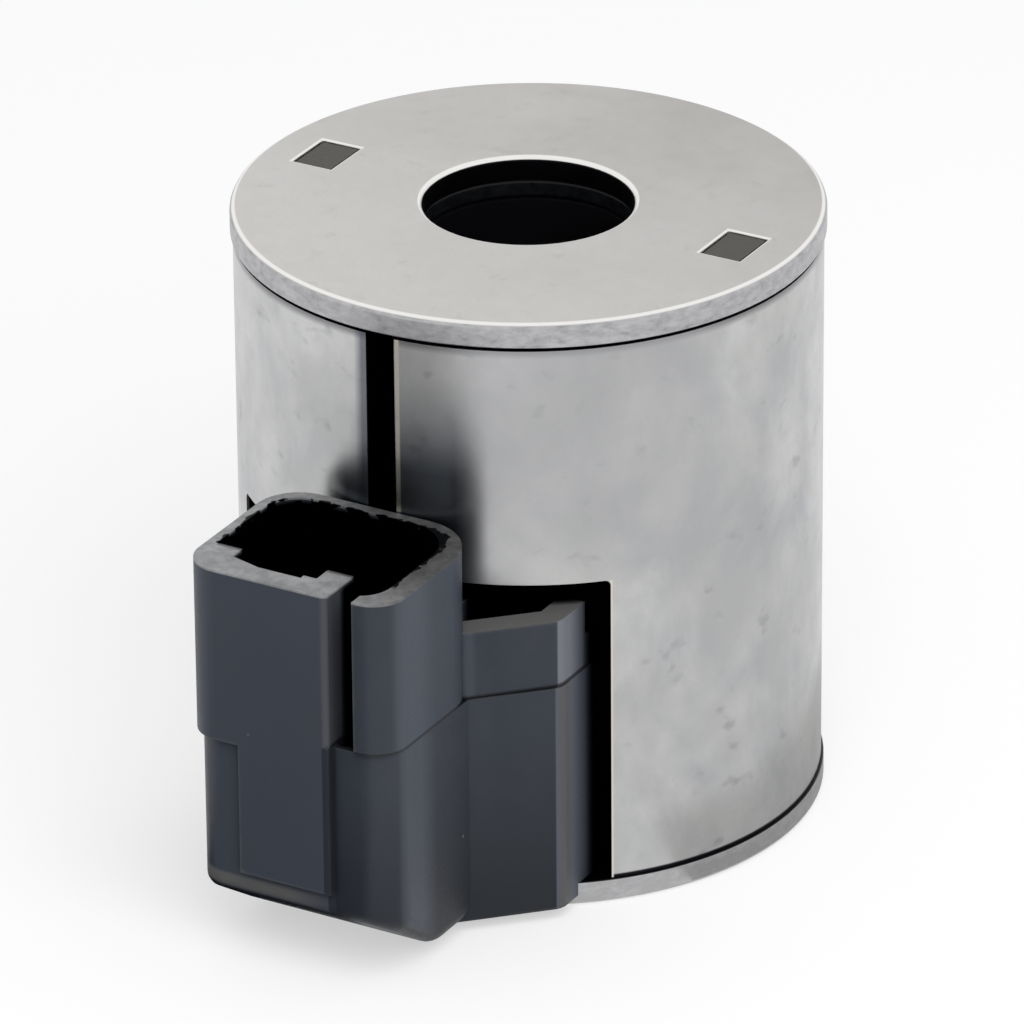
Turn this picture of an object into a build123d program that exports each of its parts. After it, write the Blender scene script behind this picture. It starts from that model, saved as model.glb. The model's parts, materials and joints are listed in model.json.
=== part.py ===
from build123d import *
import math
import os

# A solenoid valve coil: a wound bobbin in a moulded body, inside a slotted steel tube with two end plates.
# Millimetres. The origin is on the bore's axis at the lower face, +Z runs up the bore.
# The connector stands out towards -Y. In plan, "across" is along X and "out" is the distance from the axis
# towards the connector.

# Coil and end plates
coil_height = 48.4
plate_diameter = 45.0
plate_thickness = 2.0
plate_edge_width = 0.4
plate_edge_height = 0.3
bore_diameter = 16.0
bore_edge_chamfer = 0.3

# Windows in each end plate and the moulded posts that fill them
window_radius = 17.6
window_depth = 3.4
window_width = 4.6
post_clearance = 0.18
post_drop = 0.15

# Yoke tube, rolled from strip, with its seam left open over the connector
tube_setback = 0.2
tube_wall = 2.0
tube_end_gap = 0.3
seam_width = 2.4
notch_half_angle = 45.0
notch_top = 27.0
notch_corner = 0.45

# Bobbin
bobbin_wall = 1.6
collar_diameter = 24.0
flange_thickness = 2.2
flange_cover = 1.2
flange_rim_cover = 2.2

# Winding, its tape and its wire
winding_lip = 1.2
tape_thickness = 0.3
wire_diameter = 0.4
wire_above_flange = 0.1

# Rubber rings in the ends of the bobbin
seal_section = 1.5
seal_bore_clearance = 0.15
seal_seat_clearance = 0.05

# Moulded body
tube_fit_clearance = 0.1
plate_rim_clearance = 0.15
parting_height = 19.6

# Neck, which fills the tube's notch
neck_half_width = 14.0
neck_shoulder_out = 20.2
neck_shoulder_round = 1.5
neck_front_half_width = 8.1
neck_front_out = 26.0
neck_top = 25.0
neck_floor = 1.0
neck_wall = 2.2
neck_draft_step = 0.15
neck_root_depth = 0.5
side_wall_end_out = 16.3
side_wall_sill = 22.3
pocket_half_gap = 6.0
pocket_floor = 6.0

# Block under the socket
block_left = 8.3
block_right = 8.9
block_setback = 0.35
block_corner = 2.6
underside_bend_out = 29.8
underside_bend_round = 3.0
underside_rise = 4.5
foot_round = 1.3

# Broad rib down the block's front face
front_rib_left = 3.9
front_rib_floor = 7.4

# Socket shell
rim_height = 32.0
shell_back_gap = 0.1
shell_depth = 14.5
shell_left = 8.6
shell_right = 8.9
shell_corner_back_left = 3.4
shell_corner_back_right = 4.8
shell_corner_front = 2.6
shell_back_wall = 0.95
shell_left_wall = 0.8
shell_right_wall = 1.7
shell_front_wall = 0.9

# Latch panel on the shell's front, and the keyway beside it
panel_proud = 0.25
panel_floor = 18.0
panel_wall = 2.0
panel_corner = 2.8
panel_lip_round = 0.6
panel_wrap = 8.0
keyway_left = 3.9
keyway_width = 2.0
key_rib_width = 2.2
key_rib_depth = 2.1
key_rib_foot_depth = 0.45
corner_hook_reach = 3.0
corner_hook_depth = 2.1
corner_hook_foot = 2.6
corner_hook_slope = 0.7
cavity_corner = 2.6
cavity_corner_back_right = 4.0
cavity_floor = 17.5

# Terminals
pin_diameter = 1.58
pin_spacing = 5.8
pin_back_distance = 7.1
pin_tip_drop = 5.0
pin_tip_chamfer = 0.4
pin_shoulder_width = 2.4
pin_shoulder_height = 1.2
strip_thickness = 0.8
strip_width = 1.6
strip_bend_round = 0.9
strip_seat_depth = 2.4
crimp_width = 1.1
crimp_length = 2.0
crimp_gap = 0.6
crimp_cover = 0.35

# Radii and levels that follow
bore_radius = bore_diameter / 2
plate_radius = plate_diameter / 2
tube_radius = plate_radius - tube_setback
tube_bore_radius = tube_radius - tube_wall
body_radius = tube_bore_radius - tube_fit_clearance
bobbin_radius = bore_radius + bobbin_wall
collar_radius = collar_diameter / 2
flange_radius = body_radius - flange_rim_cover
tape_radius = flange_radius - winding_lip
winding_radius = tape_radius - tape_thickness
wire_radius = wire_diameter / 2

inner_floor = plate_thickness
inner_roof = coil_height - plate_thickness
tube_top = inner_roof - tube_end_gap
lower_flange_floor = inner_floor + flange_cover
winding_floor = lower_flange_floor + flange_thickness
upper_flange_roof = inner_roof - flange_cover
winding_roof = upper_flange_roof - flange_thickness

seal_seat_depth = seal_section + seal_seat_clearance
seal_inner_radius = bore_radius + seal_bore_clearance
seal_outer_radius = seal_inner_radius + seal_section
seal_seat_radius = seal_outer_radius + seal_seat_clearance

shell_back = tube_radius + shell_back_gap
shell_front = shell_back + shell_depth
panel_front = shell_front + panel_proud
panel_inner = panel_front - panel_wall
block_front = shell_front - block_setback

pin_radius = pin_diameter / 2
pin_out = shell_back + pin_back_distance
pin_root = cavity_floor - pin_shoulder_height
pin_tip = rim_height - pin_tip_drop
strip_floor = lower_flange_floor + (flange_thickness - strip_thickness) / 2
strip_roof = strip_floor + strip_thickness
strip_near = flange_radius - strip_seat_depth
start_lead_height = winding_floor - wire_radius
finish_lead_height = winding_floor + wire_radius + wire_above_flange
crimp_start = flange_radius + crimp_gap
crimp_end = crimp_start + crimp_length
lead_end = crimp_end - wire_radius


def turned(corners):
    """A solid turned about the bore axis from (radius, height) corners."""
    points = [(radius, 0, height) for radius, height in corners]
    return revolve(make_face(Polyline(*points, close=True).edges()), Axis.Z)


def disc(radius, low, high):
    """A round block on the bore axis between two heights."""
    return Pos(0, 0, low) * Cylinder(radius, high - low, align=(Align.CENTER, Align.CENTER, Align.MIN))


def ring(outer, inner, low, high):
    """A ring on the bore axis between two heights."""
    return turned([(inner, low), (outer, low), (outer, high), (inner, high)])


def block(left, right, near, far, low, high):
    """A box between two places across, two distances out and two heights."""
    middle = ((left + right) / 2, -(near + far) / 2, (low + high) / 2)
    return Pos(*middle) * Box(right - left, far - near, high - low)


def rounded_face(corners):
    """A face from (x, y, z, rounding) corners."""
    points = [corner[:3] for corner in corners]
    radii = [corner[3] for corner in corners]
    return make_face(FilletPolyline(*points, radius=radii, close=True).edges())


def plan_face(corners):
    """A level face from (across, out, rounding) corners."""
    return rounded_face([(across, -out, 0, rounding) for across, out, rounding in corners])


def plan_prism(corners, low, high):
    """An upright prism from (across, out, rounding) corners."""
    return Pos(0, 0, low) * extrude(plan_face(corners), high - low, dir=(0, 0, 1))


def side_prism(corners, left, right):
    """A level prism from (out, height, rounding) corners, between two places across."""
    face = rounded_face([(0, -out, height, rounding) for out, height, rounding in corners])
    return Pos(left, 0, 0) * extrude(face, right - left, dir=(1, 0, 0))


def window_prism(clearance, low, high):
    """The two prisms that fill the windows on +X and -X, smaller all round by the clearance."""
    half_depth = window_depth / 2 - clearance
    half_width = window_width / 2 - clearance
    left = window_radius - half_depth
    right = window_radius + half_depth
    prism = block(left, right, -half_width, half_width, low, high)
    return prism + Rot(0, 0, 180) * prism


def end_plate():
    """A stamped plate lying on z = 0, with its outer face down and that face's edges eased."""
    plate = turned(
        [
            (bore_radius + bore_edge_chamfer, 0),
            (plate_radius - plate_edge_width, 0),
            (plate_radius, plate_edge_height),
            (plate_radius, plate_thickness),
            (bore_radius, plate_thickness),
            (bore_radius, bore_edge_chamfer),
        ]
    )
    return plate - window_prism(0, -1, plate_thickness + 1)


def yoke_tube():
    """The rolled tube with its open seam and the notch that the connector's neck comes through."""
    tube = ring(tube_radius, tube_bore_radius, inner_floor, tube_top)
    reach = 2 * tube_radius
    spread = reach * math.tan(math.radians(notch_half_angle))
    tube -= plan_prism([(0, 0, 0), (-spread, reach, 0), (spread, reach, 0)], 0, notch_top)
    corners = [
        edge
        for edge in tube.edges().filter_by(GeomType.LINE)
        if abs(edge.center().Z - notch_top) < 0.01 and abs(edge.length - tube_wall) < 0.01
    ]
    tube = fillet(corners, notch_corner)
    return tube - block(-seam_width / 2, seam_width / 2, 0, reach, notch_top - 1, tube_top + 1)


def bobbin():
    """The spool: a bored tube with a flange and a collar at each end, and a seat for a seal in each collar."""
    lower_end = [
        (bore_radius, inner_floor + seal_seat_depth),
        (seal_seat_radius, inner_floor + seal_seat_depth),
        (seal_seat_radius, inner_floor),
        (collar_radius, inner_floor),
        (collar_radius, lower_flange_floor),
        (flange_radius, lower_flange_floor),
        (flange_radius, winding_floor),
        (bobbin_radius, winding_floor),
    ]
    upper_end = [(radius, coil_height - height) for radius, height in reversed(lower_end)]
    spool = turned(lower_end + upper_end)
    # Slots in the lower flange's rim for the terminals, and the groove that leads the inner wire end out
    for across in (-pin_spacing / 2, pin_spacing / 2):
        half = strip_width / 2
        spool -= block(across - half, across + half, strip_near, plate_radius, strip_floor, strip_roof)
    groove_left = -pin_spacing / 2 - wire_radius
    groove_near = bobbin_radius - wire_radius
    groove_floor = winding_floor - wire_diameter
    spool -= block(
        groove_left, groove_left + wire_diameter, groove_near, plate_radius, groove_floor, winding_floor + 0.01
    )
    return spool


def lead(across, near, height):
    """A straight wire end running out from the axis to the terminal's crimp."""
    wire = Cylinder(wire_radius, lead_end - near, rotation=(90, 0, 0))
    return Pos(across, -(near + lead_end) / 2, height) * wire


def start_lead():
    """The inner wire end, which lies in the flange's groove under the winding."""
    return lead(-pin_spacing / 2, bobbin_radius, start_lead_height)


def finish_lead():
    """The outer wire end, from the winding's last turn to its terminal."""
    across = pin_spacing / 2
    near = math.sqrt(winding_radius**2 - across**2) + wire_radius / 10
    return lead(across, near, finish_lead_height)


def terminal(across, lead_height):
    """A bent strip with a shouldered contact pin at the socket end and a folded crimp at the bobbin end."""
    face_out = pin_out + strip_thickness / 2
    inner_out = pin_out - strip_thickness / 2
    half = strip_width / 2
    profile = [
        (strip_near, strip_floor, 0),
        (face_out, strip_floor, strip_bend_round + strip_thickness),
        (face_out, pin_root, 0),
        (inner_out, pin_root, 0),
        (inner_out, strip_roof, strip_bend_round),
        (strip_near, strip_roof, 0),
    ]
    strip = side_prism(profile, across - half, across + half)
    half = pin_shoulder_width / 2
    shoulder = block(across - half, across + half, pin_out - half, pin_out + half, pin_root, cavity_floor)
    pin = turned(
        [
            (0, pin_root),
            (pin_radius, pin_root),
            (pin_radius, pin_tip - pin_tip_chamfer),
            (pin_radius - pin_tip_chamfer, pin_tip),
            (0, pin_tip),
        ]
    )
    half = crimp_width / 2
    crimp_floor = strip_roof - strip_thickness / 2
    crimp_roof = lead_height + wire_radius + crimp_cover
    crimp = block(across - half, across + half, crimp_start, crimp_end, crimp_floor, crimp_roof)
    hole = Cylinder(wire_radius, crimp_length + 1, rotation=(90, 0, 0))
    crimp -= Pos(across, -(crimp_start + crimp_end) / 2, lead_height) * hole
    return strip + shoulder + Pos(across, -pin_out, 0) * pin + crimp


def bore_seal(low):
    """A rubber ring in the seat that starts at the given height."""
    return ring(seal_outer_radius, seal_inner_radius, low, low + seal_section)


def neck_outline(shift):
    """The neck in plan, drawn in by the shift, from the moulded body out to the block's sides."""
    half = neck_half_width - shift
    shoulder = neck_shoulder_out - shift
    front_half = neck_front_half_width
    front = neck_front_out - shift
    back = math.sqrt(body_radius**2 - neck_half_width**2) - neck_root_depth
    return [
        (-half, back, 0),
        (-half, shoulder, neck_shoulder_round),
        (-front_half, front, 0),
        (front_half, front, 0),
        (half, shoulder, neck_shoulder_round),
        (half, back, 0),
    ]


def neck():
    """The moulding that fills the tube's notch, with the small step that its two mould halves leave."""
    lower = plan_prism(neck_outline(0), neck_floor, parting_height)
    return lower + plan_prism(neck_outline(neck_draft_step), parting_height, neck_top)


def neck_pockets():
    """The deep cored pockets on both sides of the socket, and the cut that ends the neck's side walls."""
    inside = offset(plan_face(neck_outline(0)), -neck_wall, kind=Kind.INTERSECTION)
    pockets = Pos(0, 0, pocket_floor) * extrude(inside, neck_top - pocket_floor + 1, dir=(0, 0, 1))
    pockets -= block(-pocket_half_gap, pocket_half_gap, 0, neck_front_out, 0, rim_height)
    pockets -= plan_prism(shell_outline(), 0, rim_height)
    wall_inside = neck_half_width - neck_wall
    for left, right in ((-plate_radius, -wall_inside), (wall_inside, plate_radius)):
        pockets += block(left, right, 0, side_wall_end_out, side_wall_sill, neck_top + 1)
    return pockets - disc(body_radius, 0, coil_height)


def socket_block():
    """The block under the socket, with its sloping underside, rounded corners and broad front rib."""
    back = body_radius - 1
    profile = [
        (back, neck_floor, 0),
        (underside_bend_out, neck_floor, underside_bend_round),
        (block_front, neck_floor + underside_rise, 0),
        (block_front, parting_height, 0),
        (back, parting_height, 0),
    ]
    body = side_prism(profile, -block_left, block_right)
    front_corners = body.edges().filter_by(Axis.Z).sort_by(Axis.Y)[:2]
    body = fillet(front_corners, block_corner)
    # The foot's rounding runs on from its front edge, round both corners and back along the underside
    foot_edge = body.faces().sort_by(Axis.Y)[0].edges().sort_by(Axis.Z)[0]
    body = fillet(foot_edge, foot_round)
    rib_back = block_front - block_setback
    rib = block(-front_rib_left, keyway_left, rib_back, panel_front, front_rib_floor, parting_height)
    return body + rib


def shell_outline():
    """The socket in plan, without its latch panel."""
    return [
        (-shell_left, shell_back, shell_corner_back_left),
        (shell_right, shell_back, shell_corner_back_right),
        (shell_right, shell_front, shell_corner_front),
        (-shell_left, shell_front, shell_corner_front),
    ]


def socket_shell():
    """The solid outline of the socket above the parting line, with the latch panel wrapped round its corner."""
    panel_back = panel_front - panel_wrap
    panel_side_inner = shell_left - shell_left_wall
    panel = [
        (keyway_left, panel_inner, 0),
        (keyway_left, panel_front, panel_lip_round),
        (-shell_left, panel_front, panel_corner),
        (-shell_left, panel_back, 0),
        (-panel_side_inner, panel_back, 0),
        (-panel_side_inner, panel_inner, 0),
    ]
    return plan_prism(shell_outline(), parting_height, rim_height) + plan_prism(panel, panel_floor, rim_height)


def socket_cavity():
    """The keyed space inside the socket, with the keyway that opens through its front."""
    back = shell_back + shell_back_wall
    front = shell_front - shell_front_wall
    left = shell_left - shell_left_wall
    right = shell_right - shell_right_wall
    rib_tip = panel_inner - key_rib_depth
    rib_side = keyway_left - key_rib_width
    rib_foot = rib_side - key_rib_width / 2
    rib_foot_tip = panel_inner - key_rib_foot_depth
    hook_tip = panel_inner - corner_hook_depth
    hook_side = corner_hook_reach - shell_left
    outline = [
        (-left, back, cavity_corner),
        (right, back, cavity_corner_back_right),
        (right, front, cavity_corner),
        (keyway_left, front, 0),
        (keyway_left, rib_tip, 0),
        (rib_side, rib_tip, 0),
        (rib_side, rib_foot_tip, 0),
        (rib_foot, rib_foot_tip, 0),
        (rib_foot, panel_inner, 0),
        (hook_side + corner_hook_foot, panel_inner, 0),
        (hook_side, panel_inner - corner_hook_slope, 0),
        (hook_side, hook_tip, 0),
        (-left, hook_tip, 0),
    ]
    keyway_right = keyway_left + keyway_width
    keyway_back = front - shell_front_wall
    keyway = block(keyway_left, keyway_right, keyway_back, panel_front + 1, parting_height, rim_height + 1)
    return plan_prism(outline, cavity_floor, rim_height + 1) + keyway


def moulded_body():
    """The one-piece moulding round the wound bobbin, with its neck, block and socket."""
    body = disc(body_radius, inner_floor, inner_roof)
    body += neck() + socket_block() - disc(plate_radius + plate_rim_clearance, -1, inner_floor)
    body -= neck_pockets()
    body += socket_shell()
    body -= socket_cavity()
    body += window_prism(post_clearance, inner_roof - 1, coil_height - post_drop)
    body += window_prism(post_clearance, post_drop, inner_floor + 1)
    # Room for the wound bobbin, which the moulding wraps from collar to collar
    lower_end = [
        (0, 0),
        (collar_radius, 0),
        (collar_radius, lower_flange_floor),
        (flange_radius, lower_flange_floor),
        (flange_radius, winding_floor),
        (tape_radius, winding_floor),
    ]
    upper_end = [(radius, coil_height - height) for radius, height in reversed(lower_end)]
    return body - turned(lower_end + upper_end)


def write_part(name, shape):
    export_step(shape, f"parts/{name}.step")


os.makedirs("parts", exist_ok=True)

left_terminal = terminal(-pin_spacing / 2, start_lead_height)
right_terminal = terminal(pin_spacing / 2, finish_lead_height)
inner_end = start_lead()
outer_end = finish_lead()
body = moulded_body() - left_terminal - right_terminal - inner_end - outer_end
plate = end_plate()

write_part("bottom_end_plate", plate)
write_part("top_end_plate", Pos(0, 0, coil_height) * (Rot(180, 0, 0) * plate))
write_part("yoke_tube", yoke_tube())
write_part("bobbin", bobbin())
write_part("winding", ring(winding_radius, bobbin_radius, winding_floor, winding_roof))
write_part("winding_tape", ring(tape_radius, winding_radius, winding_floor, winding_roof) - outer_end)
write_part("start_lead", inner_end)
write_part("finish_lead", outer_end)
write_part("terminal_left", left_terminal)
write_part("terminal_right", right_terminal)
write_part("lower_bore_seal", bore_seal(inner_floor))
write_part("upper_bore_seal", bore_seal(inner_roof - seal_section))
write_part("moulded_body", body)
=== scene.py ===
import json
import math
from functools import cached_property

import bpy
from mathutils import Matrix, Vector


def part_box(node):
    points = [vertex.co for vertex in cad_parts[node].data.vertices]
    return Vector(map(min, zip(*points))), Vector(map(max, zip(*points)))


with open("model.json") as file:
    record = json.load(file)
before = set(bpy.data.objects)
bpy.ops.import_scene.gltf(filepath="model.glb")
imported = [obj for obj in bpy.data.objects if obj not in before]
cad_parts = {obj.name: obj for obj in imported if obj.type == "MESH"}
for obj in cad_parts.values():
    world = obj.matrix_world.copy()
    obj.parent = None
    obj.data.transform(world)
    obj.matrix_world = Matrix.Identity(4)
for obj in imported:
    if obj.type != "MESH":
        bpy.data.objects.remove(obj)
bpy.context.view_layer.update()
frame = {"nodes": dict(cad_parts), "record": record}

# A solenoid valve coil in a plain pale studio. Metres, in the coil's own frame: the origin is on the
# bore's axis at the lower face, +Z runs up the bore and the connector stands out towards -Y.

nodes = frame["nodes"]

MM = 0.001
mount = {entry["name"]: entry for entry in frame["record"]["mounts"]}


def span(node, axis):
    """A node's lowest and highest place along one axis, in millimetres."""
    low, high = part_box(node)
    return low[axis] / MM, high[axis] / MM


# Places on the plates and the tube, in millimetres
plate_radius = span("top_end_plate", 0)[1]
coil_height = span("top_end_plate", 2)[1]
lower_plate_top = span("bottom_end_plate", 2)[1]
tube_radius = span("yoke_tube", 0)[1]
tube_low, tube_high = span("yoke_tube", 2)
bore_radius = mount["stem_bore"]["dims"]["r_mm"]
mouth_chamfer = 0.3
window_radius = 17.6
window_depth = 3.4
window_width = 4.6
seam_width = 2.4
notch_top = 27.0

# Places on the moulded body, in millimetres. Left and right are seen from the connector's side.
body_radius = span("moulded_body", 1)[1]
rim_height = mount["plug_socket"]["pos_m"][2] / MM
parting_height = 19.6
neck_top = 25.0
neck_half_width = 14.0
neck_side_back = 16.3
neck_side_front = 19.6
block_left = -8.3
block_right = 8.9
block_front = 36.55
panel_back = 29.1
keyway_left = 3.9
keyway_front = 35.2
cavity_middle = (-0.3, 29.7)
cavity_half = (7.5, 6.35)
cavity_floor = 17.5

# Rounding of sharp edges, in millimetres
edge_widths = {
    "top_end_plate": 0.15,
    "bottom_end_plate": 0.15,
    "yoke_tube": 0.14,
    "moulded_body": 0.2,
    "bobbin": 0.1,
    "terminal_left": 0.08,
    "terminal_right": 0.08,
    "lower_bore_seal": 0.35,
    "upper_bore_seal": 0.35,
}
edge_segments = 3
sharp_angle = math.radians(20)
flat_angle = math.radians(0.5)
weld_reach = 0.001

# Camera, as fitted to the photograph
camera_aim = Vector((-1.21, -0.76, 22.28)) * MM
camera_distance = 745.1 * MM
camera_heading = math.radians(-29.77)
camera_elevation = math.radians(25.886)
camera_roll = math.radians(-0.492)
camera_lens = 342.86
camera_sensor = 36.0
camera_nearest = 0.01
camera_farthest = 10

# Studio: the lamp in metres, the floor and the cards in millimetres
backdrop_white = 1.0
fill_strength = 0.62
floor_albedo = (0.5, 0.5, 0.505)
floor_lift = 0.52
floor_half = 6000
key_place = (0.34, -0.32, 0.52)
key_size = 0.6
key_power = 3.0
card_height = 0.4
card_steps = 12


# Materials


class Shader:
    """One material's node tree: a principled surface, with helpers that add nodes to it.

    Lengths are in millimetres. A mask is an output that is 1 where it applies, and 0 elsewhere.
    """

    def __init__(self, name, color, roughness, metallic=0.0, **sockets):
        self.material = bpy.data.materials.new(name)
        self.material.use_nodes = True
        self.tree = self.material.node_tree
        self.surface = self.tree.nodes["Principled BSDF"]
        self.set("Base Color", (*color, 1))
        self.set("Roughness", roughness)
        self.set("Metallic", metallic)
        for socket, value in sockets.items():
            self.set(socket.replace("_", " "), value)
        self.tone = None

    def add(self, kind, **properties):
        node = self.tree.nodes.new(kind)
        for key, value in properties.items():
            setattr(node, key, value)
        return node

    def join(self, output, socket):
        self.tree.links.new(output, socket)

    def set(self, socket, value):
        self.surface.inputs[socket].default_value = value

    def feed(self, socket, output):
        self.join(output, self.surface.inputs[socket])

    @cached_property
    def place(self):
        """The place on the object."""
        metres = self.add("ShaderNodeTexCoord").outputs["Object"]
        node = self.add("ShaderNodeVectorMath", operation="SCALE")
        node.inputs["Scale"].default_value = 1 / MM
        self.join(metres, node.inputs[0])
        return node.outputs[0]

    def stretched(self, x, y, z):
        """The place on the object, scaled along each axis."""
        node = self.add("ShaderNodeVectorMath", operation="MULTIPLY")
        self.join(self.place, node.inputs[0])
        node.inputs[1].default_value = (x, y, z)
        return node.outputs[0]

    def axis(self, vector, name):
        """One coordinate of a vector."""
        node = self.add("ShaderNodeSeparateXYZ")
        self.join(vector, node.inputs[0])
        return node.outputs[name]

    @cached_property
    def across(self):
        """The distance to the right of the bore's axis."""
        return self.axis(self.place, "X")

    @cached_property
    def out(self):
        """The distance from the bore's axis towards the connector."""
        return self.math("MULTIPLY", self.axis(self.place, "Y"), -1.0)

    @cached_property
    def height(self):
        """The height over the lower face."""
        return self.axis(self.place, "Z")

    @cached_property
    def radius(self):
        """The distance from the bore's axis, in any direction."""
        node = self.add("ShaderNodeVectorMath", operation="LENGTH")
        self.join(self.stretched(1, 1, 0), node.inputs[0])
        return node.outputs["Value"]

    def math(self, operation, first, second=0.0):
        """A number worked out from others. Each is a number or an output."""
        node = self.add("ShaderNodeMath", operation=operation)
        for socket, value in zip(node.inputs, (first, second)):
            if isinstance(value, (int, float)):
                socket.default_value = value
            else:
                self.join(value, socket)
        return node.outputs[0]

    def away(self, value, middle=0.0):
        """How far a value is from its middle."""
        return self.math("ABSOLUTE", self.math("SUBTRACT", value, middle))

    def spread(self, value, low, high, to_low=0.0, to_high=1.0):
        """A value mapped from one range to another, clamped."""
        node = self.add("ShaderNodeMapRange")
        self.join(value, node.inputs["Value"])
        node.inputs["From Min"].default_value = low
        node.inputs["From Max"].default_value = high
        node.inputs["To Min"].default_value = to_low
        node.inputs["To Max"].default_value = to_high
        return node.outputs["Result"]

    def band(self, value, middle, reach, soft=0.05):
        """A mask of the values within the reach of their middle, fading over the soft width."""
        return self.spread(self.away(value, middle), reach + soft, reach)

    def over(self, value, limit, soft=0.05):
        """A mask of the values over a limit, fading over the soft width below it."""
        return self.spread(value, limit - soft, limit)

    def under(self, value, limit, soft=0.05):
        """A mask of the values under a limit, fading over the soft width above it."""
        return self.spread(value, limit + soft, limit)

    def all_of(self, *masks):
        """A mask of the places where every mask applies."""
        result = masks[0]
        for mask in masks[1:]:
            result = self.math("MULTIPLY", result, mask)
        return result

    def any_of(self, *masks):
        """A mask of the places where any mask applies."""
        result = masks[0]
        for mask in masks[1:]:
            result = self.math("MAXIMUM", result, mask)
        return result

    def outside(self, mask):
        """A mask of the places where another doesn't apply."""
        return self.math("SUBTRACT", 1.0, mask)

    @cached_property
    def upward(self):
        """A mask of the faces that look up."""
        normal = self.add("ShaderNodeNewGeometry").outputs["Normal"]
        return self.spread(self.axis(normal, "Z"), 0.7, 0.95)

    def openness(self, reach, inside=False):
        """1 in the open, falling in crevices within the reach, or on thin edges when taken from inside."""
        node = self.add("ShaderNodeAmbientOcclusion", inside=inside, only_local=True, samples=8)
        node.inputs["Distance"].default_value = reach * MM
        return node.outputs["AO"]

    def noise(self, scale, detail=4.0, roughness=0.55, place=None, distortion=0.0):
        node = self.add("ShaderNodeTexNoise")
        self.join(place or self.place, node.inputs["Vector"])
        node.inputs["Scale"].default_value = scale
        node.inputs["Detail"].default_value = detail
        node.inputs["Roughness"].default_value = roughness
        node.inputs["Distortion"].default_value = distortion
        return node.outputs["Fac"]

    def specks(self, scale):
        """The distance from the nearest of many scattered points."""
        node = self.add("ShaderNodeTexVoronoi")
        self.join(self.place, node.inputs["Vector"])
        node.inputs["Scale"].default_value = scale
        return node.outputs["Distance"]

    def rings(self, scale):
        """Even waves that run up the bore."""
        node = self.add("ShaderNodeTexWave", wave_type="BANDS", bands_direction="Z", wave_profile="SIN")
        self.join(self.place, node.inputs["Vector"])
        node.inputs["Scale"].default_value = scale
        return node.outputs["Fac"]

    def mix(self, share, first, second):
        """Two colours mixed by a share. Each is a colour or an output."""
        node = self.add("ShaderNodeMix", data_type="RGBA")
        self.join(share, node.inputs["Factor"])
        colour_sockets = [socket for socket in node.inputs if socket.type == "RGBA"]
        for socket, value in zip(colour_sockets, (first, second)):
            if isinstance(value, tuple):
                socket.default_value = (*value, 1)
            else:
                self.join(value, socket)
        return next(socket for socket in node.outputs if socket.type == "RGBA")

    def paint(self, colour, mask, share=1.0):
        """Lays a colour, or an output, over the tone so far by a share where the mask applies."""
        self.tone = self.mix(self.math("MULTIPLY", mask, share), self.tone, colour)

    def bump(self, relief, depth, strength=1.0):
        """Fine relief, added to what the surface already has."""
        node = self.add("ShaderNodeBump")
        node.inputs["Strength"].default_value = strength
        node.inputs["Distance"].default_value = depth * MM
        self.join(relief, node.inputs["Height"])
        normal = self.surface.inputs["Normal"]
        if normal.is_linked:
            self.join(normal.links[0].from_socket, node.inputs["Normal"])
        self.join(node.outputs["Normal"], normal)


# Tones that more than one material uses
# Painted shade, for the bore's wall, the gaps by the plates and the inside of the tube
painted_shade_tone = (0.012, 0.012, 0.015)
black = (0.0, 0.0, 0.0)


def plate_rim(look, nicks):
    """The tone of the plates' sheared rims. The lower one has no dark nicks."""
    upper_tones = ((0.4, 0.4, 0.412), (0.51, 0.51, 0.52))
    lower_tones = ((0.42, 0.42, 0.425), (0.51, 0.51, 0.518))
    nick_tone = (0.2, 0.2, 0.21)
    upper = look.mix(look.spread(nicks, 0.4, 0.62), *upper_tones)
    upper = look.mix(look.spread(nicks, 0.3, 0.4, 0.45, 0.0), upper, nick_tone)
    lower = look.mix(look.spread(nicks, 0.45, 0.7), *lower_tones)
    return look.mix(look.under(look.height, lower_plate_top), upper, lower)


def plate_highlight_edges(look):
    """A mask of the upper plate's rounded edges, where a highlight is painted: round it, at the bore's mouth
    and round both windows.
    """
    rim_width = 0.35
    rim_depth = 0.16
    window_lip = 0.05
    near_top = look.over(look.height, coil_height - mouth_chamfer)
    outer = look.all_of(
        look.over(look.radius, plate_radius - rim_width, 0.1),
        look.over(look.height, coil_height - rim_depth, 0.06),
    )
    mouth = look.all_of(look.under(look.radius, bore_radius + mouth_chamfer, 0.1), near_top)
    to_side = look.away(look.across)
    past_side = look.math("SUBTRACT", look.away(to_side, window_radius), window_depth / 2)
    past_end = look.math("SUBTRACT", look.away(look.out), window_width / 2)
    window = look.band(look.math("MAXIMUM", past_side, past_end), window_lip, 0.08, 0.08)
    window = look.all_of(window, near_top, look.over(to_side, bore_radius))
    return look.any_of(outer, mouth, window)


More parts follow.
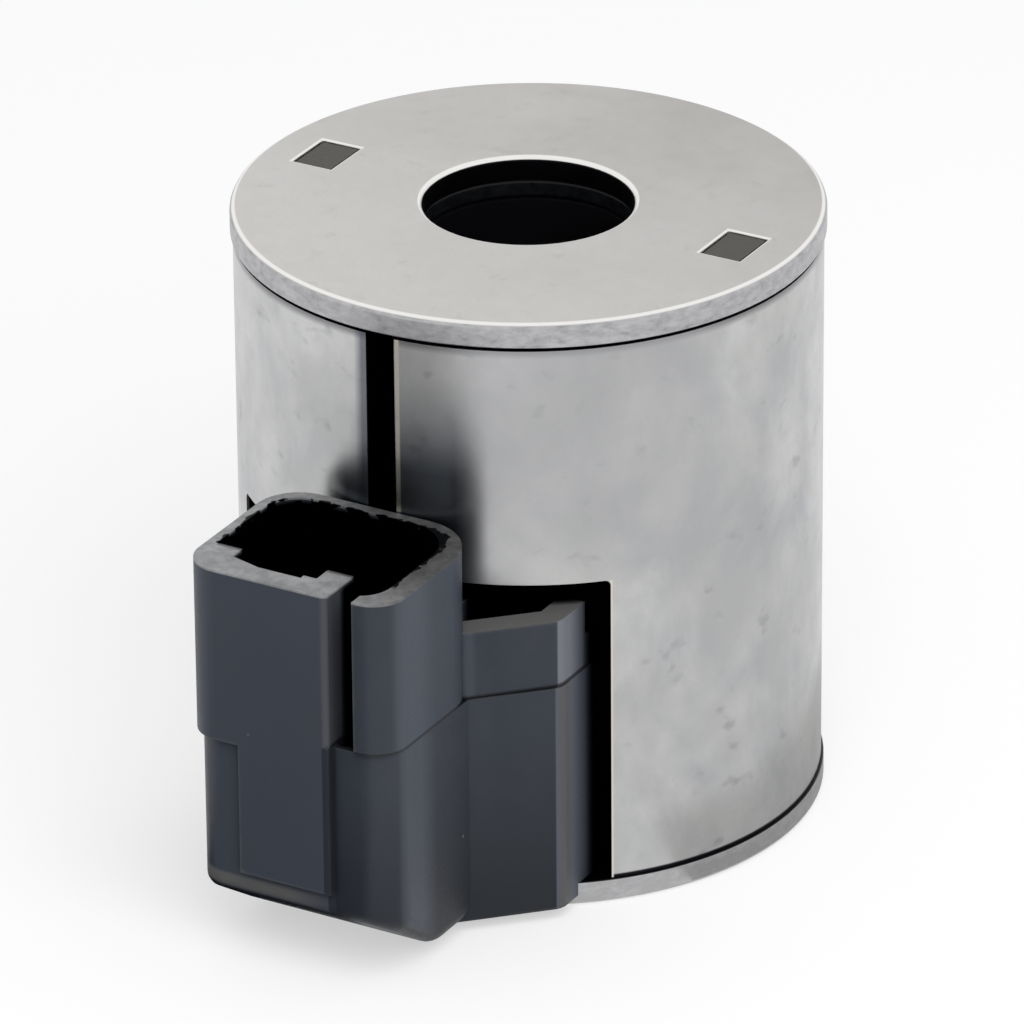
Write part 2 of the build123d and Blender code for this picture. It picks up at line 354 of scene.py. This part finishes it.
def plate_steel():
    """Plated stamped steel: satin, faintly clouded, with painted light, painted highlights on its rounded
    edges, painted shade in its bore and a dull sheared rim.
    """
    cloud_tones = ((0.458, 0.447, 0.432), (0.522, 0.512, 0.498))
    painted_connector_light_tone = (0.64, 0.63, 0.615)
    grain_tone = (0.45, 0.44, 0.425)
    spot_tone = (0.38, 0.375, 0.37)
    painted_highlight_tone = (0.86, 0.85, 0.83)
    across_weight = -0.6
    slant_reach = 18.0
    rim_skin = 0.1
    wall_skin = 0.05
    look = Shader("plate_steel", (0.54, 0.53, 0.51), 0.42, metallic=1.0)
    clouds = look.noise(0.05, detail=4.0, roughness=0.5)
    grain = look.noise(4.0, detail=3.0, roughness=0.7)
    spots = look.noise(0.5, detail=3.0, roughness=0.5, distortion=0.4)
    nicks = look.noise(0.9, detail=5.0, roughness=0.7, place=look.stretched(1, 1, 2.2))
    slant = look.math("ADD", look.out, look.math("MULTIPLY", look.across, across_weight))
    look.tone = look.mix(look.spread(clouds, 0.38, 0.62), *cloud_tones)
    # Painted light: the top is painted paler towards the connector, as if more light fell there
    look.paint(painted_connector_light_tone, look.spread(slant, -slant_reach, slant_reach), 0.72)
    look.paint(grain_tone, look.spread(grain, 0.4, 0.75), 0.2)
    look.paint(spot_tone, look.spread(spots, 0.62, 0.76), 0.3)
    look.paint(plate_rim(look, nicks), look.over(look.radius, plate_radius - rim_skin))
    # Painted highlight on the rounded edges
    look.paint(painted_highlight_tone, plate_highlight_edges(look))
    # Painted shade: the bore's wall and the lower plate's ledge beside the tube lie in the dark, so they are
    # painted dark
    bore_wall = look.all_of(
        look.under(look.radius, bore_radius + wall_skin),
        look.under(look.height, coil_height - mouth_chamfer),
    )
    ledge = look.band(look.height, lower_plate_top, 0.06)
    look.paint(painted_shade_tone, look.any_of(bore_wall, ledge))
    look.feed("Base Color", look.tone)
    look.feed("Roughness", look.spread(look.noise(0.6, detail=6.0), 0.3, 0.7, 0.38, 0.48))
    look.bump(grain, 0.004)
    look.bump(nicks, 0.02, strength=0.5)
    return look.material


def paint_seam(look):
    """The tube's painted light round its seam and notch: a dimmer reflection, shade, dark reflections and
    highlights on the cut edges.
    """
    painted_dim_reflection_tone = (0.41, 0.41, 0.42)
    shaded_edge_tone = (0.07, 0.08, 0.11)
    painted_dark_reflection_tone = (0.06, 0.075, 0.095)
    painted_edge_glint_tone = (0.7, 0.66, 0.58)
    seam_half = seam_width / 2
    right_streak_middle = 3.4
    left_streak_middle = -2.4
    streak_height = 32.5
    left_streak_top = 33.0
    front = look.over(look.out, 0.0)
    over_notch = look.all_of(look.over(look.height, notch_top), front)
    # Painted reflection: a dimmer stretch of the tube's reflection
    painted_darkening = look.all_of(
        look.spread(look.height, 24.0, 34.0),
        look.spread(look.out, 7.0, 11.0),
        look.spread(look.across, 3.0, 8.0),
    )
    look.paint(painted_dim_reflection_tone, painted_darkening, 0.5)
    # Painted shade along the seam's left edge
    shaded_edge = look.all_of(over_notch, look.band(look.across, -seam_half - 0.2, 0.2, 0.7))
    look.paint(shaded_edge_tone, shaded_edge, 0.75)
    # Painted reflection: dark streaks beside the seam
    right_streak = look.all_of(
        look.band(look.across, right_streak_middle, 2.4, 2.4),
        look.band(look.height, streak_height, 3.0, 8.0),
    )
    left_streak = look.all_of(
        look.band(look.across, left_streak_middle, 0.8, 1.2),
        look.under(look.height, left_streak_top, 3.0),
    )
    look.paint(painted_dark_reflection_tone, look.all_of(look.any_of(right_streak, left_streak), front), 0.86)
    # Painted highlights on the seam's and the notch's cut edges
    seam_edge = look.all_of(over_notch, look.band(look.across, seam_half + 0.22, 0.12, 0.1))
    past_notch = look.math("DIVIDE", look.math("SUBTRACT", look.away(look.across), look.out), math.sqrt(2))
    notch_edge = look.all_of(look.band(past_notch, 0.05, 0.06, 0.08), look.under(look.height, notch_top))
    look.paint(painted_edge_glint_tone, look.any_of(seam_edge, notch_edge))


def tube_steel():
    """Plated rolled steel: smoother than the plates, mottled and scuffed, and painted dark inside and at its
    ends as shade.
    """
    cloud_tones = ((0.43, 0.434, 0.448), (0.59, 0.591, 0.588))
    blotch_tone = (0.4, 0.404, 0.418)
    tint_tone = (0.5, 0.5, 0.475)
    grain_tone = (0.4, 0.4, 0.41)
    smudge_tone = (0.24, 0.24, 0.245)
    painted_gap_shade_tone = (0.25, 0.25, 0.26)
    upper_end = tube_high - 0.15
    lower_end = tube_low + 0.22
    inner_side = tube_radius - 0.25
    look = Shader("tube_steel", (0.5, 0.505, 0.515), 0.3, metallic=1.0)
    clouds = look.noise(0.12, detail=5.0, roughness=0.58, place=look.stretched(1, 1, 0.7), distortion=0.3)
    blotch = look.noise(0.4, detail=6.0, roughness=0.6)
    smudge = look.noise(0.45, detail=2.0, roughness=0.45, place=look.stretched(1, 1, 1.4))
    grain = look.noise(5.0, detail=3.0, roughness=0.7)
    tint = look.noise(0.16, detail=2.0)
    look.tone = look.mix(look.spread(clouds, 0.36, 0.64), *cloud_tones)
    look.paint(blotch_tone, look.spread(blotch, 0.48, 0.7), 0.35)
    look.paint(tint_tone, look.spread(tint, 0.4, 0.65), 0.35)
    look.paint(grain_tone, look.spread(grain, 0.5, 0.8), 0.15)
    look.paint(smudge_tone, look.spread(smudge, 0.64, 0.76), 0.4)
    # Painted shade: the tube's ends, in the gaps by the plates, and its inside are painted dark
    look.paint(painted_gap_shade_tone, look.over(look.height, upper_end, 0.5))
    look.paint(painted_shade_tone, look.under(look.height, lower_end, 0.12))
    paint_seam(look)
    look.paint(painted_shade_tone, look.under(look.radius, inner_side, 0.1))
    look.feed("Base Color", look.tone)
    look.feed("Roughness", look.spread(blotch, 0.3, 0.7, 0.285, 0.35))
    look.bump(look.noise(0.2, detail=3.0), 0.02)
    look.bump(grain, 0.001)
    return look.material


def moulded_plastic(name, color, roughness, worn):
    """Glass-filled moulded plastic: satin, with a fine grain, faint flow marks and paler rubbed patches."""
    look = Shader(name, color, roughness, Specular_IOR_Level=0.3)
    flow = look.noise(0.15, detail=4.0, place=look.stretched(1, 1, 0.4), distortion=0.6)
    grain = look.noise(3.5, detail=3.0, roughness=0.65)
    look.tone = look.mix(look.spread(flow, 0.3, 0.7, 0.0, 0.6), color, worn)
    look.paint(worn, look.spread(grain, 0.55, 0.8), 0.35)
    look.feed("Base Color", look.tone)
    look.feed("Roughness", look.spread(grain, 0.3, 0.7, roughness - 0.06, roughness + 0.06))
    look.bump(grain, 0.006)
    look.bump(look.noise(0.5, detail=3.0), 0.02)
    return look


def bobbin_plastic():
    """The same kind of plastic, painted darker as the shade in the bore, where it shows."""
    # Painted shade: the bobbin is painted near black for the bore's dark
    look = moulded_plastic("bobbin_plastic", (0.002, 0.002, 0.003), 0.6, (0.005, 0.005, 0.006))
    look.set("Specular IOR Level", 0.08)
    return look.material


def paint_wear_and_light(look):
    """Painted light on the body's front faces, painted shade low down and in crevices, worn edges, painted
    sheens, a paler foot band and dust.
    """
    painted_face_light_tone = (0.056, 0.067, 0.09)
    rubbed_tone = (0.049, 0.052, 0.061)
    painted_low_shade_tone = (0.01, 0.013, 0.018)
    painted_crevice_shade_tone = (0.003, 0.004, 0.006)
    worn_tone = (0.1, 0.098, 0.096)
    painted_sheen_tone = (0.078, 0.09, 0.115)
    foot_tone = (0.12, 0.119, 0.118)
    dust_tone = (0.2, 0.2, 0.21)
    darkening_from = 17.0
    darkening_to = 3.0
    right_sheen_middle = 33.0
    left_sheen_back = 34.0
    foot_height = 6.2
    foot_back = 35.5
    rub = look.noise(0.3, detail=4.0, roughness=0.6)
    # Painted light: the front faces and the shell's right side are painted paler
    shell_side = look.all_of(
        look.band(look.across, block_right, 0.15, 0.3),
        look.over(look.height, parting_height),
    )
    panel_front = look.all_of(
        look.over(look.out, block_front - 0.1, 0.3),
        look.under(look.across, keyway_left, 0.2),
    )
    front = look.any_of(panel_front, shell_side)
    look.paint(painted_face_light_tone, front, 0.6)
    look.paint(rubbed_tone, look.spread(rub, 0.5, 0.75), 0.4)
    # Painted shade: the faces away from the front get darker towards the bottom
    painted_darkening = look.spread(look.height, darkening_from, darkening_to, 0.1, 1.0)
    look.paint(painted_low_shade_tone, look.all_of(painted_darkening, look.outside(front)))
    # Painted shade in the crevices
    look.paint(painted_crevice_shade_tone, look.spread(look.openness(2.5), 0.85, 0.4), 0.85)
    worn = look.spread(look.openness(0.5, inside=True), 0.75, 0.4)
    look.paint(worn_tone, look.all_of(worn, look.spread(rub, 0.3, 0.6, 0.2, 0.8)))
    # Painted highlights: sheens on the rounded corners
    right_sheen = look.all_of(
        look.band(look.across, block_right, 0.15, 0.15),
        look.band(look.out, right_sheen_middle, 0.8, 2.2),
    )
    left_sheen = look.all_of(
        look.under(look.across, block_left + 0.7, 0.6),
        look.over(look.out, left_sheen_back, 0.6),
        look.under(look.height, parting_height),
    )
    look.paint(painted_sheen_tone, look.any_of(right_sheen, left_sheen), 0.6)
    foot = look.all_of(
        look.band(look.height, foot_height, 0.4, 0.3),
        look.over(look.out, foot_back, 0.5),
        look.under(look.across, 0.0, 4.0),
    )
    look.paint(foot_tone, foot, 0.8)
    look.paint(dust_tone, look.spread(look.specks(0.13), 0.02, 0.01), 0.7)


def key_side(look, middle, reach):
    """A mask of the keyway's left side, which is the latch panel's end."""
    return look.all_of(look.band(look.across, middle, reach), look.over(look.out, keyway_front, 0.8))


def paint_keyway(look):
    """The keyway's left side, painted paler above the parting line as light and darker below it as shade."""
    lower_tone = (0.012, 0.014, 0.02)
    upper_tone = (0.066, 0.068, 0.076)
    # Painted light above the parting line, painted shade below it
    tone = look.mix(look.over(look.height, parting_height), lower_tone, upper_tone)
    look.paint(tone, key_side(look, keyway_left - 0.15, 0.4), 0.7)


def paint_neck(look):
    """The neck's top, and its sides, painted paler as light, most over the parting line, and fading to
    painted shade towards the tube.
    """
    lower_tone = (0.086, 0.096, 0.118)
    upper_tone = (0.165, 0.178, 0.205)
    rubbed_tone = (0.088, 0.085, 0.086)
    painted_tube_shade_tone = (0.012, 0.015, 0.024)
    top_tone = (0.12, 0.118, 0.116)
    # Painted light on the neck's sides
    side_light_and_shade = look.mix(look.over(look.height, parting_height, 0.1), lower_tone, upper_tone)
    rubbed = look.all_of(
        look.band(look.out, neck_side_front, 0.4, 0.4),
        look.under(look.height, parting_height),
    )
    side_light_and_shade = look.mix(look.math("MULTIPLY", rubbed, 0.8), side_light_and_shade, rubbed_tone)
    # Painted shade where the sides run in beside the tube
    side_light_and_shade = look.mix(look.spread(look.out, neck_side_front - 1.0, neck_side_back, 0.0, 0.85), side_light_and_shade, painted_tube_shade_tone)
    look.paint(side_light_and_shade, look.over(look.away(look.across), neck_half_width - 0.3, 0.06))
    look.paint(top_tone, look.all_of(look.upward, look.band(look.height, neck_top, 0.15)))


def paint_rim(look):
    """The socket's grainy rim, paler towards the front left."""
    front_tones = ((0.195, 0.198, 0.205), (0.345, 0.348, 0.355))
    back_tones = ((0.045, 0.045, 0.047), (0.095, 0.094, 0.092))
    back_slant = 22.0
    front_slant = 33.0
    grain = look.spread(look.noise(0.8, detail=4.0, roughness=0.7), 0.35, 0.7)
    towards_front = look.spread(look.math("SUBTRACT", look.out, look.across), back_slant, front_slant)
    tone = look.mix(towards_front, look.mix(grain, *back_tones), look.mix(grain, *front_tones))
    look.paint(tone, look.band(look.height, rim_height, 0.12))


def socket_depths(look):
    """A mask of the socket's walls and of a ragged strip inside its rim, where black is painted as shade, but
    not of the keyway's side.
    """
    squareness = 6.0
    walls_top = rim_height - 0.5
    strip_front = 33.0
    side = look.math("DIVIDE", look.math("SUBTRACT", look.across, cavity_middle[0]), cavity_half[0])
    depth = look.math("DIVIDE", look.math("SUBTRACT", look.out, cavity_middle[1]), cavity_half[1])
    reach = look.math("ADD", look.math("POWER", side, squareness), look.math("POWER", depth, squareness))
    walls = look.all_of(look.under(reach, 1.15, 0.1), look.under(look.height, walls_top, 0.4))
    ragged = look.spread(look.noise(0.9, detail=2.0, roughness=0.5), 0.35, 0.65, 0.9, 1.3)
    strip = look.all_of(
        look.under(look.math("DIVIDE", reach, ragged), 1.0),
        look.under(look.out, strip_front, 0.5),
    )
    inside = look.all_of(look.any_of(walls, strip), look.over(look.height, cavity_floor - 0.2))
    return look.all_of(inside, look.outside(key_side(look, keyway_left, 0.3)))


def body_plastic():
    """The moulded body's plastic: worn, paler on its rim and posts, with painted light and shade on its faces
    and neck, and painted black as shade in its recesses.
    """
    post_tone = (0.044, 0.041, 0.035)
    half_height = coil_height / 2
    tube_wall = 1.5
    plate_depth = 1.0
    look = moulded_plastic("body_plastic", (0.028, 0.034, 0.048), 0.45, (0.042, 0.048, 0.062))
    paint_wear_and_light(look)
    paint_keyway(look)
    paint_neck(look)
    paint_rim(look)
    from_middle = look.away(look.height, half_height)
    posts = look.all_of(
        look.under(look.radius, body_radius),
        look.over(from_middle, half_height - plate_depth),
    )
    look.paint(post_tone, posts)
    # Painted shade: the recesses are painted black, with no gloss, and the parting line is painted only
    # darker, as the shadow under its step
    beside_panel = look.math(
        "MAXIMUM",
        look.math("SUBTRACT", look.across, keyway_left),
        look.math("SUBTRACT", panel_back, look.out),
    )
    parting_line = look.all_of(
        look.band(look.height, parting_height + 0.08, 0.1, 0.06),
        look.over(beside_panel, 0.0),
    )
    behind_tube = look.all_of(
        look.under(look.radius, tube_radius - tube_wall, 0.9),
        look.under(from_middle, half_height - tube_wall),
    )
    recesses = look.any_of(behind_tube, socket_depths(look))
    look.paint(black, look.any_of(recesses, look.math("MULTIPLY", parting_line, 0.7)))
    look.feed("Base Color", look.tone)
    look.feed("Metallic", recesses)
    return look.material


def copper_wire():
    """Enamelled copper wound in fine turns."""
    turn_tones = ((0.5, 0.2, 0.08), (0.78, 0.37, 0.16))
    look = Shader("copper_wire", (0.72, 0.33, 0.14), 0.3, metallic=1.0, Coat_Weight=0.6)
    turns = look.rings(0.78)
    look.feed("Base Color", look.mix(turns, *turn_tones))
    look.bump(turns, 0.08)
    return look.material


def insulation_tape():
    """Thin polyester film, wound with slight wrinkles."""
    wrinkle_tones = ((0.56, 0.44, 0.12), (0.68, 0.56, 0.2))
    look = Shader("insulation_tape", (0.62, 0.5, 0.16), 0.25, Coat_Weight=0.3)
    wrinkles = look.noise(0.5, detail=3.0, place=look.stretched(1, 1, 0.15))
    look.feed("Base Color", look.mix(look.spread(wrinkles, 0.3, 0.7), *wrinkle_tones))
    look.bump(wrinkles, 0.05)
    return look.material


def terminal_metal():
    """Tinned brass."""
    cloud_tones = ((0.62, 0.6, 0.54), (0.74, 0.72, 0.68))
    look = Shader("terminal_metal", (0.7, 0.68, 0.62), 0.25, metallic=1.0)
    clouds = look.noise(1.2, detail=4.0)
    look.feed("Base Color", look.mix(look.spread(clouds, 0.3, 0.7), *cloud_tones))
    look.feed("Roughness", look.spread(clouds, 0.3, 0.7, 0.29, 0.36))
    look.bump(clouds, 0.005)
    return look.material


def seal_rubber():
    """Black rubber with a little oil on it."""
    cloud_tones = ((0.003, 0.003, 0.004), (0.008, 0.009, 0.01))
    look = Shader("seal_rubber", (0.006, 0.006, 0.007), 0.3, Specular_IOR_Level=0.2)
    clouds = look.noise(1.5, detail=4.0)
    look.feed("Base Color", look.mix(look.spread(clouds, 0.3, 0.7), *cloud_tones))
    look.feed("Roughness", look.spread(clouds, 0.3, 0.7, 0.3, 0.42))
    look.bump(clouds, 0.01)
    return look.material


def dress(material, *names):
    """Gives nodes their material."""
    for name in names:
        mesh = nodes[name].data
        mesh.materials.clear()
        mesh.materials.append(material)


def soften(name, width):
    """Rounds a node's sharp edges a little, as they are on the real pieces."""
    piece = nodes[name]
    weld = piece.modifiers.new("weld", "WELD")
    weld.merge_threshold = weld_reach * MM
    flat = piece.modifiers.new("flat", "DECIMATE")
    flat.decimate_type = "DISSOLVE"
    flat.angle_limit = flat_angle
    bevel = piece.modifiers.new("bevel", "BEVEL")
    bevel.width = width * MM
    bevel.segments = edge_segments
    bevel.limit_method = "ANGLE"
    bevel.angle_limit = sharp_angle
    bevel.harden_normals = True
    normals = piece.modifiers.new("normals", "WEIGHTED_NORMAL")
    normals.keep_sharp = True


dress(plate_steel(), "top_end_plate", "bottom_end_plate")
dress(tube_steel(), "yoke_tube")
dress(body_plastic(), "moulded_body")
dress(bobbin_plastic(), "bobbin")
dress(copper_wire(), "winding", "start_lead", "finish_lead")
dress(insulation_tape(), "winding_tape")
dress(terminal_metal(), "terminal_left", "terminal_right")
dress(seal_rubber(), "lower_bore_seal", "upper_bore_seal")

for node_name, edge_width in edge_widths.items():
    soften(node_name, edge_width)


# Studio


def camera_rays(tree):
    """An output that is 1 for rays from the camera, directly, by a mirror or through glass."""
    path = tree.nodes.new("ShaderNodeLightPath")
    most = path.outputs["Is Camera Ray"]
    for other in ("Is Glossy Ray", "Is Transmission Ray"):
        node = tree.nodes.new("ShaderNodeMath")
        node.operation = "MAXIMUM"
        tree.links.new(most, node.inputs[0])
        tree.links.new(path.outputs[other], node.inputs[1])
        most = node.outputs[0]
    return most


def make_world():
    """White where it is seen, and a plain even fill on the object."""
    world = bpy.data.worlds.new("studio")
    bpy.context.scene.world = world
    world.use_nodes = True
    tree = world.node_tree
    tree.nodes.clear()
    seen = tree.nodes.new("ShaderNodeBackground")
    seen.inputs["Strength"].default_value = backdrop_white
    fill = tree.nodes.new("ShaderNodeBackground")
    fill.inputs["Strength"].default_value = fill_strength
    for background in (seen, fill):
        background.inputs["Color"].default_value = (1, 1, 1, 1)
    choose = tree.nodes.new("ShaderNodeMixShader")
    tree.links.new(camera_rays(tree), choose.inputs[0])
    tree.links.new(fill.outputs[0], choose.inputs[1])
    tree.links.new(seen.outputs[0], choose.inputs[2])
    output = tree.nodes.new("ShaderNodeOutputWorld")
    tree.links.new(choose.outputs[0], output.inputs["Surface"])


def staged_sheet(name, corners, height, material):
    """A level sheet that belongs to the studio, from (across, out) corners in millimetres."""
    mesh = bpy.data.meshes.new(name)
    points = [(across * MM, -out * MM, height * MM) for across, out in corners]
    mesh.from_pydata(points, [], [tuple(range(len(points)))])
    mesh.materials.append(material)
    sheet = bpy.data.objects.new(name, mesh)
    bpy.context.scene.collection.objects.link(sheet)
    return sheet


def make_floor():
    """A wide pale floor that keeps the coil's shadow, and looks nearly white where the camera sees it."""
    half = floor_half
    look = Shader("floor", floor_albedo, 0.9, Specular_IOR_Level=0.0)
    look.set("Emission Color", (1, 1, 1, 1))
    look.feed("Emission Strength", look.math("MULTIPLY", camera_rays(look.tree), floor_lift))
    staged_sheet("floor", [(-half, half), (half, half), (half, -half), (-half, -half)], 0, look.material)


def place_at(turn, radius):
    """The (across, out) place at a turn in radians from -Y towards +X."""
    return math.sin(turn) * radius, math.cos(turn) * radius


def reflector(name, first, last, near, far, tone):
    """A darker card on the floor that only reflections show: painted shade that gives the tube's streaks
    their tones.

    It is a sector between two directions in degrees, from -Y towards +X, and two distances from the tube.
    """
    look = Shader(name, black, 1.0, Specular_IOR_Level=0.0)
    look.set("Emission Color", (tone, tone, tone, 1))
    look.set("Emission Strength", 1.0)
    turns = [math.radians(first + (last - first) * step / card_steps) for step in range(card_steps + 1)]
    inner = [place_at(turn, tube_radius + near) for turn in turns]
    outer = [place_at(turn, tube_radius + far) for turn in reversed(turns)]
    card = staged_sheet(name, inner + outer, card_height, look.material)
    card.visible_camera = False
    card.visible_diffuse = False
    card.visible_shadow = False
    card.visible_transmission = False


def make_key_lamp():
    """A soft lamp that lights matt surfaces and leaves no glare on the metal."""
    data = bpy.data.lights.new("key", "AREA")
    data.size = key_size
    data.energy = key_power
    lamp = bpy.data.objects.new("key", data)
    bpy.context.scene.collection.objects.link(lamp)
    lamp.visible_glossy = False
    lamp.location = key_place
    towards_coil = Vector((0, 0, coil_height / 2 * MM)) - Vector(key_place)
    lamp.rotation_euler = towards_coil.to_track_quat("-Z", "Y").to_euler()


def make_camera():
    """The camera at the photograph's place, turned by its heading, elevation and roll."""
    data = bpy.data.cameras.new("camera")
    data.lens = camera_lens
    data.sensor_width = camera_sensor
    data.clip_start = camera_nearest
    data.clip_end = camera_farthest
    camera = bpy.data.objects.new("camera", data)
    bpy.context.scene.collection.objects.link(camera)
    level = math.cos(camera_elevation)
    forward = Vector((
        math.sin(camera_heading) * level,
        math.cos(camera_heading) * level,
        -math.sin(camera_elevation),
    ))
    right = Vector((math.cos(camera_heading), -math.sin(camera_heading), 0))
    up = right.cross(forward)
    turned_right = math.cos(camera_roll) * right + math.sin(camera_roll) * up
    turned_up = math.cos(camera_roll) * up - math.sin(camera_roll) * right
    turn = Matrix((turned_right, turned_up, -forward)).transposed().to_4x4()
    camera.matrix_world = Matrix.Translation(camera_aim - forward * camera_distance) @ turn
    bpy.context.scene.camera = camera


make_world()
make_floor()
# Painted shade seen only in reflections: darker sheets that stand for the shaded floor round the coil
reflector("dark_card", first=-32, last=4, near=8, far=72, tone=0.0)
reflector("dim_card", first=-28, last=4, near=72, far=98, tone=0.02)
reflector("far_card", first=-28, last=4, near=98, far=116, tone=0.5)
reflector("grey_card", first=20, last=150, near=11, far=130, tone=0.94)
reflector("side_card", first=62, last=178, near=0, far=11, tone=0.55)
make_key_lamp()
make_camera()
bpy.context.scene.view_settings.view_transform = "Standard"
